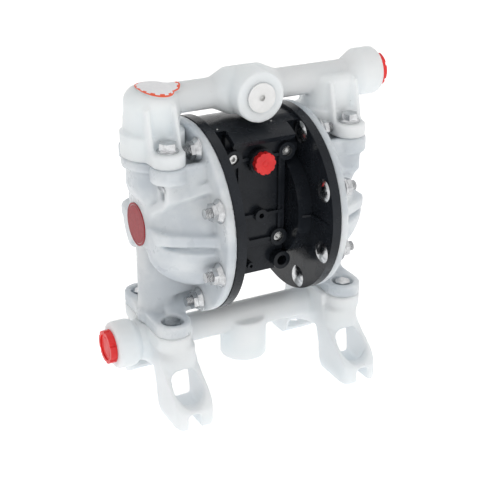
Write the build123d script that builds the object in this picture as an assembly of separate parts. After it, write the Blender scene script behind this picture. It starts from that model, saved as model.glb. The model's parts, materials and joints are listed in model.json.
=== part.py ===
from build123d import *
import os
from math import cos, radians, sin, sqrt, tan

# Air operated double diaphragm pump, half-inch ports, moulded plastic body.
# Everything is modelled about the pump axis (X, through the diaphragm rod) and lifted at export,
# so that the written part stands with its feet on Z = 0.

# ---------------------------------------------------------------- driving dimensions, mm
axis_height = 157.0            # pump axis above the floor

# clearances
running_gap = 0.05             # radial, for what slides
seat_gap = 0.03                # radial, for what is pressed or screwed in
free_gap = 0.3                 # between faces of pieces that move past each other

# chamber flanges
joint_x = 46.3                 # joint plane of inner and outer chamber, from the middle
flange_radius = 80.3
inner_flange_thickness = 7.9
outer_flange_thickness = 7.5
bolt_circle_radius = 69.8
bolts_per_flange = 8

# half-inch ports
port_bore_radius = 10.3
port_boss_radius = 20.0
port_edge_radius = 3.0
port_depth = 18.0
port_end_x = 122.7             # end faces of both manifolds' side ports
discharge_cone = (92.4, 105.3)  # where the cone up to a side port's boss starts and ends
suction_cone = (97.0, 106.0)
waterway_radius = 8.0
branch_radius = 7.5            # waterway from the tube to the front or bottom port
manifold_tube_radius = 12.4

# manifolds
discharge_tube_z = 99.5        # height of the discharge tube over the pump axis
suction_tube_z = -104.3
column_x = 80.0                # valve columns, from the middle
discharge_joint_z = 57.5
suction_joint_z = -86.0
front_port_y = -30.5           # face of the discharge manifold's front port
bottom_port_z = -140.4         # face of the suction manifold's bottom port
suction_elbow_radius = 18.0    # round the tube's ends
suction_elbow_end_x = 99.0
suction_upright_radius = 19.0

# ears and lugs that clamp the manifolds to the chambers
ear_x = 81.0
ear_y = 31.7
discharge_ear_radius = 13.5
discharge_ear_top_z = 69.0
discharge_lug_radius = 14.5
discharge_lug_bottom_z = 45.0
lug_web_bottom_z = 30.0        # the web under a lug, as wide as its nut slot needs
lug_web_reach = 6.5            # how far the web's outer face stands past the bolt
lug_root_z = 20.0              # where the lug's slanted underside meets the bowl
suction_lug_radius = 15.0
suction_lug_top_z = -75.3
suction_pad_thickness = 12.0

# check valves
ball_radius = 9.525
ball_lift = 6.0
seat_hole_radius = 7.5
seat_radius = 16.0
seat_thickness = 5.0
cage_radius = 12.6
stop_bar_thickness = 2.4
stop_bar_height = 4.0
ring_radius = 13.5             # seat O-ring
ring_section_radius = 1.3

# outer chamber bowl
bowl_radius = 58.0             # at the flange
bowl_reach = 50.0              # ellipse half-length along the pump axis
wall = 4.0
hub_radius = 19.5
hub_face_x = 96.4
badge_radius = 17.7
badge_thickness = 1.2
column_radius = 16.3           # lower valve column of the outer chamber
column_foot_radius = 18.8
discharge_column_radius = 22.0
discharge_flange_radius = 25.5
discharge_flange_top_z = 77.0
elbow_crown = 0.6              # left elbow's top over the tube
elbow_drop = 7.4               # right elbow's top under the tube's top

# ribs of the outer chamber
middle_rib_thickness = 9.0
upper_rib_thickness = 8.0
upper_rib_angle = 40.0

# diaphragm, plates and rod
half_stroke = 8.0
diaphragm_thickness = 3.0
diaphragm_clamp_radius = 54.0
diaphragm_bead_radius = 62.0
bead_thickness = 5.0
plate_radius = 33.0
plate_stud_radius = 5.0
inner_plate_thickness = 7.0
outer_plate_height = 12.0
diaphragm_centre_x = 52.0      # middle of the clamped disc, at mid stroke
rod_radius = 8.0
stud_depth = 18.0

# inner chamber
drum_radius = 47.3
drum_face_x = 26.0
inner_floor_x = 30.5
inner_hub_radius = 16.0
inner_hub_x = 33.5
seal_radius = 12.0
seal_depth = 5.0
inner_cavity_radius = 42.0

# centre body
gasket_thickness = 0.8
core_half_width = drum_face_x - gasket_thickness
core_depth = 22.0              # front and back faces of the core
core_bottom_z = -54.0
shell_radius = 77.6
shell_thickness = 5.0
shell_angle = 29.0             # half-angle of the top shell
scallop_length = 11.0          # the shell is cut back this far beside each bolt head
bushing_wall = 2.0
bushing_length = 14.0

# main air valve and pilot valve
valve_z = 61.0
sleeve_radius = 11.0
spool_radius = 7.0
sleeve_half_length = 30.0
spool_half_length = 23.5
valve_shift = 5.0
end_plug_thickness = 6.0
bumper_thickness = 1.3
pilot_z = 26.0
pilot_sleeve_radius = 8.0
pilot_spool_radius = 5.0
pilot_half_length = 20.0
pilot_sleeve_half_length = core_half_width
pilot_shift = half_stroke / 2
plunger_radius = 3.5
plunger_bushing_radius = 5.5
plunger_flange_radius = 7.5

# front and rear covers of the centre body
cover_thickness = 4.0
cover_gasket_thickness = 0.6
air_port_z = 47.3
air_boss_radius = 11.0
air_port_radius = 6.6
air_boss_height = 7.0
cover_boss_radius = 7.5
cover_boss_height = 4.0
cover_hump_x = 14.0
cover_hump_z = 55.5
cover_hump_radius = 9.5
cover_dip_z = 61.0
cover_screw_top = (24.0, 51.8)
cover_screw_bottom = (17.3, -22.0)
cover_screw_radius = 2.5
cover_screw_head_radius = 4.0
cover_screw_head_height = 4.0
cover_screw_length = 12.0
muffler_radius = 10.0
muffler_length = 30.0

# 8 mm fasteners
thread_radius = 4.0
bolt_hole_radius = 4.4
hex_flat = 13.0                # across flats
nut_flange_radius = 9.8
nut_height = 8.0
washer_face = 2.2              # thickness of the moulded-on flange
stud_end = 5.0                 # thread showing past a nut
carriage_head_radius = 9.3
carriage_head_height = 3.4
carriage_neck = 8.0
carriage_neck_length = 5.0
bolt_flange_radius = 8.7
bolt_head_height = 7.0
square_nut_side = 13.0
square_nut_height = 4.0
nut_slot_z = 42.0              # top of the nut slots in the upper lugs
recess_radius = 9.3
recess_depth = 8.0

# legs
leg_inner_x = 62.0
leg_outer_x = 94.5
leg_wall = 3.5
toe_y = 71.5                   # front and rear reach of the feet
toe_height = 13.0
toe_corner = 7.0               # toes are rounded in plan
leg_column_radius = 15.6       # round front of a leg under its pad
leg_column_bottom_z = -122.0
foot_slot_width = 10.6
foot_slot_y = 48.0             # where the foot slots end
foot_thickness = 7.0
window_sill_z = -132.7
# front edge of a leg from the toe up, (distance from the middle, z), the same at the rear
leg_edge = [(toe_y, -axis_height + toe_height + 2), (62.5, -132.5), (56.0, -126.7), (48.7, -122.0), (40.0, -115.0),
            (31.0, -102.0)]
# heels and arch between the feet, (y, z) from the rear to the front
leg_arch = [(39.0, -axis_height), (35.5, -154.0), (29.0, -140.0), (12.0, -130.0), (-6.0, -124.0), (-20.0, -121.0),
            (-22.5, -128.4), (-25.0, -137.0), (-26.0, -147.0), (-28.0, -153.7), (-31.5, -axis_height)]

# plugs
plug_flange_radius = 14.0
plug_flange_height = 5.8
plug_ribs = 6
plug_notch_radius = 1.8
front_plug_radius = 11.8
front_plug_head = 1.4
air_plug_radius = 9.2
air_plug_height = 5.0
air_plug_ribs = 10

# ---------------------------------------------------------------- places worked out from them
bolt_head_x = joint_x - inner_flange_thickness
nut_face_x = joint_x + outer_flange_thickness
floor_z = -axis_height
plate_face_x = diaphragm_centre_x - diaphragm_thickness / 2 - inner_plate_thickness
outer_plate_x = diaphragm_centre_x + diaphragm_thickness / 2
plunger_tip_x = plate_face_x - half_stroke + pilot_shift - free_gap
ball_rise = sqrt(ball_radius**2 - seat_hole_radius**2)      # ball centre over its seat
cover_front_y = core_depth + cover_gasket_thickness + cover_thickness
pad_bottom_z = suction_joint_z - suction_pad_thickness
bolt_angles = [360 / bolts_per_flange * (i + 0.5) for i in range(bolts_per_flange)]
ear_places = [(sx * ear_x, sy * ear_y) for sx in (-1, 1) for sy in (-1, 1)]


# ---------------------------------------------------------------- shapes
def rod_x(r, x0, x1, y=0, z=0):
    return Pos((x0 + x1) / 2, y, z) * Rot(0, 90, 0) * Cylinder(r, abs(x1 - x0))


def rod_y(r, y0, y1, x=0, z=0):
    return Pos(x, (y0 + y1) / 2, z) * Rot(90, 0, 0) * Cylinder(r, abs(y1 - y0))


def rod_z(r, z0, z1, x=0, y=0):
    return Pos(x, y, (z0 + z1) / 2) * Cylinder(r, abs(z1 - z0))


def block(x0, x1, y0, y1, z0, z1):
    return Pos((x0 + x1) / 2, (y0 + y1) / 2, (z0 + z1) / 2) * Box(abs(x1 - x0), abs(y1 - y0), abs(z1 - z0))


def turned(profile):
    """Solid of revolution about the pump axis, from (x, radius) corners."""
    return revolve(make_face(Polyline([(x, 0, r) for x, r in profile], close=True)), Axis.X)


def turned_smooth(points, x0):
    """As turned, with a spline along the outside from x0 through the (x, radius) points to the axis."""
    outline = Spline([(x, 0, r) for x, r in points])
    (first_x, first_r), (last_x, last_r) = points[0], points[-1]
    corners = [(last_x, 0, last_r), (last_x, 0, 0), (x0, 0, 0), (x0, 0, first_r)]
    if first_x > x0:
        corners.append((first_x, 0, first_r))
    return revolve(make_face(outline + Polyline(corners)), Axis.X)


def plate_yz(points, x0, x1):
    """Flat plate square to X, from (y, z) corners."""
    face = make_face(Polyline([(x0, y, z) for y, z in points], close=True))
    return extrude(face, amount=x1 - x0, dir=(1, 0, 0))


def plate_xy(points, z0, z1):
    face = make_face(Polyline([(x, y, z0) for x, y in points], close=True))
    return extrude(face, amount=z1 - z0, dir=(0, 0, 1))


def plate_xz(points, y0, y1):
    face = make_face(Polyline([(x, y0, z) for x, z in points], close=True))
    return extrude(face, amount=y1 - y0, dir=(0, 1, 0))


def hexagon_z(flat, z0, z1, x=0, y=0):
    face = Pos(x, y, z0) * RegularPolygon(flat / 2, 6, major_radius=False)
    return extrude(face, amount=z1 - z0, dir=(0, 0, 1))


def left(part):
    return mirror(part, about=Plane.YZ)


def rear(part):
    return mirror(part, about=Plane.XZ)


def both_sides(part):
    return part + left(part)


def keep(node, *solids):
    """Write one node: its solids, lifted so that the feet stand on Z = 0."""
    placed = [Pos(0, 0, axis_height) * s for s in solids]
    flat = [s for p in placed for s in p.solids()]
    export_step(Compound(children=flat) if len(flat) > 1 else flat[0], f"parts/{node}.step")


# ---------------------------------------------------------------- fasteners
def flange_nut():
    """Hexagon nut with a wide flange, its seat at the origin, towards +Z."""
    skirt = Cone(nut_flange_radius, hex_flat / 2 + 0.6, washer_face + 1.4, align=(Align.CENTER, Align.CENTER, Align.MIN))
    rim = rod_z(nut_flange_radius, 0, 1.0)
    nut = rim + Pos(0, 0, 0.6) * skirt + hexagon_z(hex_flat, 0, nut_height)
    nut &= rod_z(nut_flange_radius, 0, nut_height)
    return nut - rod_z(thread_radius + seat_gap, -1, nut_height + 1)


def flange_bolt(length):
    """Hexagon bolt with a flange, seated at the origin, shank towards -Z."""
    skirt = Cone(bolt_flange_radius, hex_flat / 2, washer_face, align=(Align.CENTER, Align.CENTER, Align.MIN))
    head = rod_z(bolt_flange_radius, 0, 1.0) + skirt + hexagon_z(hex_flat - 0.6, 0, bolt_head_height)
    return head + rod_z(thread_radius, -length, 0)


def carriage_bolt(length):
    """Low domed head with a square neck, seated at the origin, shank towards -Z."""
    cap_sphere = (carriage_head_radius**2 + carriage_head_height**2) / (2 * carriage_head_height)
    dome = Pos(0, 0, carriage_head_height - cap_sphere) * Sphere(cap_sphere)
    dome &= rod_z(carriage_head_radius, 0, carriage_head_height)
    neck = block(*(s * carriage_neck / 2 for s in (-1, 1, -1, 1)), -carriage_neck_length, 0)
    return dome + neck + rod_z(thread_radius, -length, 0)


def square_nut():
    half = square_nut_side / 2
    return block(-half, half, -half, half, -square_nut_height, 0) - rod_z(thread_radius + seat_gap, -9, 1)


def on_bolt_circle(shape, x, spin=0):
    """Copies of a +Z shape on the bolt circle, pointing away from the middle at x."""
    turned_part = Rot(0, 90, 0) * Rot(0, 0, spin) * shape
    return [Rot(a, 0, 0) * Pos(x, 0, bolt_circle_radius) * turned_part for a in bolt_angles]


# ---------------------------------------------------------------- wetted housings
def ball_stop(x, z):
    """Two crossed bars that limit a ball's lift, their undersides at z."""
    reach = cage_radius + 1
    bar = block(-reach, reach, -stop_bar_thickness / 2, stop_bar_thickness / 2, z, z + stop_bar_height)
    return Pos(x, 0, 0) * (bar + Rot(0, 0, 90) * bar)


def seat_recess(x, joint_z):
    depth = seat_thickness + seat_gap
    return rod_z(seat_radius + seat_gap, joint_z - depth, joint_z + 0.01, x)


def bowl_ellipse(reach, radius, n=9):
    """(x, radius) points of the bowl's outline, a quarter ellipse from the flange to the hub."""
    last = radians(74)
    return [(joint_x + reach * sin(last * i / n), radius * cos(last * i / n)) for i in range(n + 1)]


def outer_chamber():
    """Right-hand outer chamber: flange, bowl, hub, valve column and lugs, one moulding."""
    flange = rod_x(flange_radius, joint_x, nut_face_x)
    bowl = turned_smooth(bowl_ellipse(bowl_reach, bowl_radius), joint_x)
    hub = rod_x(hub_radius, joint_x + 20, hub_face_x)
    body = flange + bowl + hub

    # full-bodied lobes below the middle rib, front and rear
    lobe_profile = [(nut_face_x, bowl_radius + 2.5), (71, bowl_radius - 1), (84, 49), (91.5, 41),
                    (hub_face_x - 1.6, 31)]
    lobe = turned_smooth(lobe_profile, nut_face_x - 2)
    wedge = plate_yz([(0, 0), (-90, -90 * tan(radians(10))), (-90, -90 * tan(radians(48))), (0, -2)],
                     nut_face_x - 2, hub_face_x)
    lobe_front = lobe & wedge
    body += lobe_front + rear(lobe_front)

    # middle rib: a level plate each side of the hub
    rib = [(nut_face_x - 1, 0), (nut_face_x - 1, -66), (66, -57), (78, -51), (86, -46.5), (91.5, -42),
           (hub_face_x - 1.5, -36), (hub_face_x - 0.8, 0)]
    middle = plate_xy(rib, -middle_rib_thickness / 2, middle_rib_thickness / 2)
    body += middle + rear(middle)

    # upper ribs, slanting from the hub to the flange
    slanted = [(nut_face_x - 1, 0), (nut_face_x - 1, 66), (66, 58), (80, 50), (88, 40), (93, 28), (hub_face_x - 1, 0)]
    upper = plate_xz(slanted, -upper_rib_thickness / 2, upper_rib_thickness / 2)
    for side in (-1, 1):
        body += Rot(side * (90 - upper_rib_angle), 0, 0) * upper

    # valve columns over and under the bowl
    upper_column = rod_z(discharge_column_radius, 0, discharge_joint_z, column_x)
    beside_hub = hub_face_x - 1.5
    edge = column_x + discharge_column_radius
    body += upper_column & plate_xz([(nut_face_x, -1), (beside_hub, -1), (beside_hub, hub_radius + 1),
                                     (edge, hub_radius + 15), (edge, discharge_joint_z), (nut_face_x, discharge_joint_z)],
                                    -discharge_column_radius, discharge_column_radius)
    body += rod_z(discharge_flange_radius, discharge_joint_z - 8, discharge_joint_z, column_x)
    body += rod_z(column_radius, suction_joint_z, 0, column_x)
    body += block(nut_face_x - 1, column_x, -column_radius, column_radius, -62, 0)
    body += rod_z(column_foot_radius, suction_joint_z, suction_joint_z + 9, column_x)

    # lugs for the manifold bolts
    for side in (-1, 1):
        y = side * ear_y
        body += rod_z(discharge_lug_radius, discharge_lug_bottom_z, discharge_joint_z, ear_x, y)
        web_y = y + side * discharge_lug_radius * 0.7
        body += plate_yz([(y * 0.2, discharge_joint_z), (web_y, discharge_joint_z), (web_y, lug_web_bottom_z),
                          (y, lug_root_z), (y * 0.2, lug_root_z)],
                         nut_face_x - 1, ear_x + lug_web_reach)
        body += rod_z(suction_lug_radius, suction_joint_z, suction_lug_top_z, ear_x, y)
        body += block(ear_x - suction_lug_radius, ear_x + suction_lug_radius, 0, y, suction_joint_z, suction_lug_top_z)
        body += plate_yz([(0, -60), (y * 0.6, suction_lug_top_z + 4), (y, suction_lug_top_z), (0, suction_lug_top_z)],
                         nut_face_x - 1, ear_x)

    # flow spaces
    body -= turned_smooth(bowl_ellipse(bowl_reach - wall - 10, bowl_radius - wall), joint_x - 1)
    body -= rod_z(cage_radius, suction_joint_z - 1, 0, column_x)
    body -= rod_z(seat_hole_radius, 0, discharge_joint_z + 1, column_x)
    body -= seat_recess(column_x, discharge_joint_z)
    stop_z = suction_joint_z + ball_rise + ball_radius + ball_lift + free_gap
    body += ball_stop(column_x, stop_z)

    # diaphragm clamp
    clamp_depth = diaphragm_thickness / 2
    body -= rod_x(diaphragm_bead_radius + seat_gap, joint_x - 1, joint_x + clamp_depth)
    bead = rod_x(diaphragm_bead_radius + seat_gap, joint_x - 1, joint_x + bead_thickness / 2)
    body -= bead - rod_x(diaphragm_bead_radius - 6, joint_x - 2, joint_x + 9)

    # bolt holes, recesses, nut slots, badge seat
    for hole in on_bolt_circle(rod_z(bolt_hole_radius, -9, 40), joint_x + 8):
        body -= hole & rod_x(flange_radius + 9, joint_x - 1, nut_face_x + 1)
    for pocket in on_bolt_circle(rod_z(nut_flange_radius + 0.8, 0, 30), nut_face_x):
        body -= pocket
    for side in (-1, 1):
        y = side * ear_y
        body -= rod_z(bolt_hole_radius, lug_web_bottom_z + 1, discharge_joint_z + 1, ear_x, y)
        body -= rod_z(bolt_hole_radius, suction_joint_z - 1, suction_lug_top_z + 1, ear_x, y)
        body -= rod_z(recess_radius, suction_lug_top_z - recess_depth, suction_lug_top_z + 20, ear_x, y)
        half = square_nut_side / 2 + 0.2
        slot = block(ear_x - half, ear_x + 30, y - half, y + half, nut_slot_z - square_nut_height - 0.2, nut_slot_z)
        stem_z = nut_slot_z - square_nut_height - 8
        slot += block(ear_x, ear_x + 30, y - bolt_hole_radius, y + bolt_hole_radius, stem_z, nut_slot_z)
        body -= slot
        body -= rod_z(bolt_hole_radius, stem_z, nut_slot_z, ear_x, y)
    body -= rod_x(badge_radius + seat_gap, hub_face_x - badge_thickness, hub_face_x + 1)
    return body


def side_port_out(z, cone_x):
    """Boss for a side port on the right: a cone from the tube up to the boss, then a cylinder."""
    x0, x1 = cone_x
    cone = turned([(x0 - 1, 0), (x0 - 1, manifold_tube_radius), (x0, manifold_tube_radius),
                   (x1, port_boss_radius), (port_end_x, port_boss_radius), (port_end_x, 0)])
    boss = fillet(cone.edges().filter_by(GeomType.CIRCLE).sort_by(Axis.X)[-1], port_edge_radius)
    return Pos(0, 0, z) * boss


def discharge_manifold():
    """Top manifold: tube, two elbows with ears, a side port and a front port, one moulding."""
    z = discharge_tube_z
    body = rod_x(manifold_tube_radius, -column_x, port_end_x - 20, 0, z)
    body += side_port_out(z, discharge_cone)

    # front port with a swelling in the tube behind it
    body += rod_y(port_boss_radius + 0.5, front_port_y, 0, 0, z)
    body += Pos(0, 0, z) * turned([(-29, 0), (-29, manifold_tube_radius), (-15, port_boss_radius - 1.0),
                                   (15, port_boss_radius - 1.0), (29, manifold_tube_radius), (29, 0)])

    # elbows down to the chambers
    for side in (-1, 1):
        x = side * column_x
        top = z + manifold_tube_radius + (elbow_crown if side < 0 else -elbow_drop)
        upright = rod_z(discharge_column_radius, discharge_joint_z, top, x)
        round_top = 13.0 if side < 0 else 6.0
        body += fillet(upright.edges().filter_by(GeomType.CIRCLE).sort_by(Axis.Z)[-1], round_top)
        body += rod_z(discharge_flange_radius, discharge_joint_z, discharge_flange_top_z, x)
    for x, y in ear_places:
        body += rod_z(discharge_ear_radius, discharge_joint_z, discharge_ear_top_z, x, y)
        near = block(x - discharge_ear_radius, x + discharge_ear_radius, 0, y, discharge_joint_z, discharge_ear_top_z)
        body += near
        # gussets from the ear up to the elbow
        side = 1 if y > 0 else -1
        for dx in (-discharge_ear_radius + 2, discharge_ear_radius - 2):
            gusset = [(0, z + 4), (side * 22.5, z + 1), (side * 28.5, discharge_ear_top_z + 9),
                      (side * 30, discharge_ear_top_z - 0.5), (0, discharge_ear_top_z - 0.5)]
            body += plate_yz(gusset, x + dx - 1.8, x + dx + 1.8)

    # waterways
    body -= rod_x(waterway_radius, -column_x, port_end_x, 0, z)
    body -= rod_x(port_bore_radius, port_end_x - port_depth, port_end_x + 1, 0, z)
    body -= rod_y(port_bore_radius, front_port_y - 1, front_port_y + port_depth, 0, z)
    body -= rod_y(branch_radius, front_port_y, 0, 0, z)
    stop_z = discharge_joint_z + ball_rise + ball_radius + ball_lift + free_gap
    for side in (-1, 1):
        body -= rod_z(cage_radius, discharge_joint_z - 1, stop_z + stop_bar_height + 1, side * column_x)
        body -= rod_z(waterway_radius, discharge_joint_z, z, side * column_x)
        body += ball_stop(side * column_x, stop_z)
    for x, y in ear_places:
        body -= rod_z(bolt_hole_radius, discharge_joint_z - 1, discharge_ear_top_z + 1, x, y)
        body -= rod_z(bolt_flange_radius + 1.2, discharge_ear_top_z, z, x, y)
    return body


def leg_pair():
    """Front and rear leg under the right-hand column: two side walls with an arch, joined by
    a bridge at the top and a slotted pad at each foot."""
    outline = [(-toe_y, floor_z)] + [(-y, z) for y, z in leg_edge] + [(-30, suction_joint_z), (30, suction_joint_z)]
    outline += list(reversed(leg_edge)) + [(toe_y, floor_z)] + leg_arch
    legs = plate_yz(outline, leg_inner_x, leg_outer_x)
    mid = (leg_inner_x + leg_outer_x) / 2
    plan = Pos(mid, 0, floor_z) * RectangleRounded(leg_outer_x - leg_inner_x, 2 * toe_y, toe_corner)
    legs &= extrude(plan, amount=axis_height, dir=(0, 0, 1))
    # round fronts under the pads, hollow for the nuts
    for side in (-1, 1):
        legs += rod_z(leg_column_radius, leg_column_bottom_z, pad_bottom_z, mid, side * ear_y)
    # round-topped windows through the front and rear, and the space between the side walls
    x0, x1 = leg_inner_x + leg_wall, leg_outer_x - leg_wall
    arch_r = (x1 - x0) / 2
    spring_z = window_sill_z + 4.8
    window = block(x0, x1, -toe_y - 9, toe_y + 9, window_sill_z, spring_z)
    window += rod_y(arch_r, -toe_y - 9, toe_y + 9, mid, spring_z)
    inside = [(toe_y - 13, floor_z + foot_thickness), (toe_y - 13, -141.0), (56.5, -131.5), (51.0, -126.5),
              (44.0, -122.0), (35.0, -113.5), (26.5, -100.5)]
    well = plate_yz([(-y, z) for y, z in inside] + [(-26, pad_bottom_z + 0.01), (26, pad_bottom_z + 0.01)]
                    + list(reversed(inside)), x0, x1)
    legs -= window + well
    # foot slots
    half = foot_slot_width / 2
    for side in (-1, 1):
        y_end = side * foot_slot_y
        legs -= block(column_x - half, column_x + half, y_end, side * (toe_y + 5), floor_z - 1, floor_z + toe_height)
        legs -= rod_z(half, floor_z - 1, floor_z + toe_height, column_x, y_end)
    return legs


def suction_manifold():
    """Bottom manifold: tube, side port, bottom port, two elbows with bolt pads, and the legs."""
    z = suction_tube_z
    body = rod_x(manifold_tube_radius, -(port_end_x - 20), column_x, 0, z)
    body += left(side_port_out(z, suction_cone))
    body += block(-111, -105, -3.5, 3.5, z - port_boss_radius - 7, z)
    body += rod_z(port_boss_radius + 0.3, bottom_port_z, z, 0)
    legs = leg_pair()
    body += legs + left(legs)
    for side in (-1, 1):
        x = side * column_x
        body += rod_z(suction_upright_radius, z - manifold_tube_radius + 1, suction_joint_z, x)
        body += rod_x(suction_elbow_radius, side * (leg_inner_x + 2), side * suction_elbow_end_x, 0, z)
    for x, y in ear_places:
        body += rod_z(suction_lug_radius, pad_bottom_z, suction_joint_z, x, y)
        body += block(x - suction_lug_radius, x + suction_lug_radius, 0, y, pad_bottom_z, suction_joint_z)
    # flow spaces
    body -= rod_x(waterway_radius, -port_end_x, column_x, 0, z)
    body -= rod_x(port_bore_radius, -port_end_x - 1, -port_end_x + port_depth, 0, z)
    body -= rod_z(port_bore_radius, bottom_port_z - 1, bottom_port_z + port_depth, 0)
    body -= rod_z(branch_radius, bottom_port_z, z, 0)
    for side in (-1, 1):
        body -= rod_z(seat_hole_radius, z, suction_joint_z + 1, side * column_x)
        body -= seat_recess(side * column_x, suction_joint_z)
    for x, y in ear_places:
        body -= rod_z(bolt_hole_radius, pad_bottom_z - 1, suction_joint_z + 1, x, y)
        body -= rod_z(nut_flange_radius + 0.5, pad_bottom_z - nut_height - 4, pad_bottom_z, x, y)
    return body


# ---------------------------------------------------------------- check valves
def ball(x, joint_z):
    return Pos(x, 0, joint_z + ball_rise + seat_gap) * Sphere(ball_radius)


def ball_seat(x, joint_z):
    seat = rod_z(seat_radius, joint_z - seat_thickness, joint_z, x) - rod_z(seat_hole_radius, joint_z - 9, joint_z + 9, x)
    depth = 2 * ring_section_radius + seat_gap
    groove = rod_z(ring_radius + ring_section_radius + seat_gap, joint_z - depth, joint_z + 1, x)
    return seat - (groove - rod_z(ring_radius - ring_section_radius - seat_gap, joint_z - 9, joint_z + 9, x))


def seat_ring(x, joint_z):
    return Pos(x, 0, joint_z - ring_section_radius - seat_gap / 2) * Torus(ring_radius, ring_section_radius)


# ---------------------------------------------------------------- diaphragm assembly
def diaphragm():
    """Right-hand diaphragm: clamped bead, rolling flank and centre disc."""
    half = diaphragm_thickness / 2
    c = diaphragm_centre_x
    outer, inner = diaphragm_clamp_radius - 2, plate_radius + 1.5
    upper = Spline((joint_x + half, 0, outer), ((joint_x + c) / 2 + half + 2, 0, (outer + inner) / 2 + 1),
                   (c + half, 0, inner))
    lower = Spline((joint_x - half, 0, outer), ((joint_x + c) / 2 - half + 2, 0, (outer + inner) / 2 + 1),
                   (c - half, 0, inner))
    hole = plate_stud_radius + seat_gap
    tip = Polyline((c + half, 0, inner), (c + half, 0, hole), (c - half, 0, hole), (c - half, 0, inner))
    b = bead_thickness / 2 - seat_gap
    rim = Polyline((joint_x - half, 0, outer), (joint_x - half, 0, diaphragm_bead_radius - 6 + seat_gap),
                   (joint_x - b, 0, diaphragm_bead_radius - 6 + seat_gap), (joint_x - b, 0, diaphragm_bead_radius),
                   (joint_x + b, 0, diaphragm_bead_radius), (joint_x + b, 0, diaphragm_bead_radius - 6 + seat_gap),
                   (joint_x + half, 0, diaphragm_bead_radius - 6 + seat_gap), (joint_x + half, 0, outer))
    return revolve(make_face(upper + tip + lower + rim), Axis.X)


def outer_plate():
    x = outer_plate_x
    r = plate_radius
    h = outer_plate_height
    plate = turned([(x, 0), (x, r), (x + 3, r), (x + 0.55 * h, r * 0.78), (x + 0.85 * h, r * 0.45), (x + h, r * 0.2),
                    (x + h, 0)])
    return plate + rod_x(plate_stud_radius, plate_face_x - stud_depth, x)


def inner_plate():
    x0, x1 = plate_face_x, plate_face_x + inner_plate_thickness
    plate = turned([(x0, 0), (x0, plate_radius - 2), (x0 + 2, plate_radius), (x1, plate_radius), (x1, 0)])
    return plate - rod_x(plate_stud_radius + seat_gap, x0 - 1, x1 + 1)


def diaphragm_rod():
    rod = rod_x(rod_radius, -plate_face_x, plate_face_x)
    socket = rod_x(plate_stud_radius + seat_gap, plate_face_x - stud_depth - 2, plate_face_x + 1)
    return rod - socket - left(socket)


def rod_seal():
    x1 = inner_hub_x
    return rod_x(seal_radius, x1 - seal_depth, x1 - 0.2) - rod_x(rod_radius + running_gap, x1 - 9, x1 + 1)


def rod_bushing():
    x1 = core_half_width
    outer = rod_radius + running_gap + bushing_wall
    return rod_x(outer, x1 - bushing_length, x1) - rod_x(rod_radius + running_gap, x1 - 30, x1 + 1)


# ---------------------------------------------------------------- air side
def inner_chamber():
    """Right-hand inner chamber: bolting flange, drum, floor with rod seal and plunger hole."""
    j = joint_x
    body = turned([(drum_face_x, 0), (drum_face_x, drum_radius), (bolt_head_x, drum_radius),
                   (bolt_head_x, flange_radius), (j, flange_radius), (j, diaphragm_clamp_radius),
                   (inner_floor_x + 6, inner_cavity_radius + 2), (inner_floor_x, inner_cavity_radius - 3),
                   (inner_floor_x, inner_hub_radius), (inner_hub_x, inner_hub_radius), (inner_hub_x, 0)])
    # thin ribs between drum and flange, front and rear
    for a in (90, 270):
        body += Rot(a, 0, 0) * plate_xz([(drum_face_x + 3, drum_radius - 3), (bolt_head_x + 1, drum_radius - 3),
                                         (bolt_head_x + 1, flange_radius - 5), (bolt_head_x - 0.4, flange_radius - 5),
                                         (bolt_head_x - 2.2, drum_radius + 2), (drum_face_x + 3, drum_radius + 0.6)],
                                        -1.0, 1.0)
    clamp = diaphragm_thickness / 2
    body -= rod_x(diaphragm_bead_radius + seat_gap, j - clamp, j + 1)
    bead = rod_x(diaphragm_bead_radius + seat_gap, j - bead_thickness / 2, j + 1)
    body -= bead - rod_x(diaphragm_bead_radius - 6, j - 9, j + 2)
    body -= rod_x(rod_radius + free_gap, drum_face_x - 1, inner_hub_x + 1)
    body -= rod_x(seal_radius + seat_gap, inner_hub_x - seal_depth, inner_hub_x + 1)
    body -= rod_x(plunger_bushing_radius + seat_gap, drum_face_x - 1, inner_floor_x + 5, 0, pilot_z)
    body -= rod_x(3.0, drum_face_x - 1, inner_floor_x + 1, 0, air_port_z - 11)
    half = carriage_neck / 2 + 0.15
    for cut in on_bolt_circle(rod_z(bolt_hole_radius, 0, 30), bolt_head_x - 1):
        body -= cut
    for cut in on_bolt_circle(block(-half, half, -half, half, -1, carriage_neck_length + 0.2), bolt_head_x):
        body -= cut
    return body


def chamber_gasket():
    x0, x1 = core_half_width, drum_face_x
    sheet = block(x0, x1, -core_depth + 2, core_depth - 2, -40, 42)
    sheet -= rod_x(rod_radius + 3, x0 - 1, x1 + 1) + rod_x(plunger_bushing_radius + 1, x0 - 1, x1 + 1, 0, pilot_z)
    return sheet - rod_x(4.0, x0 - 1, x1 + 1, 0, air_port_z - 11)


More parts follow.
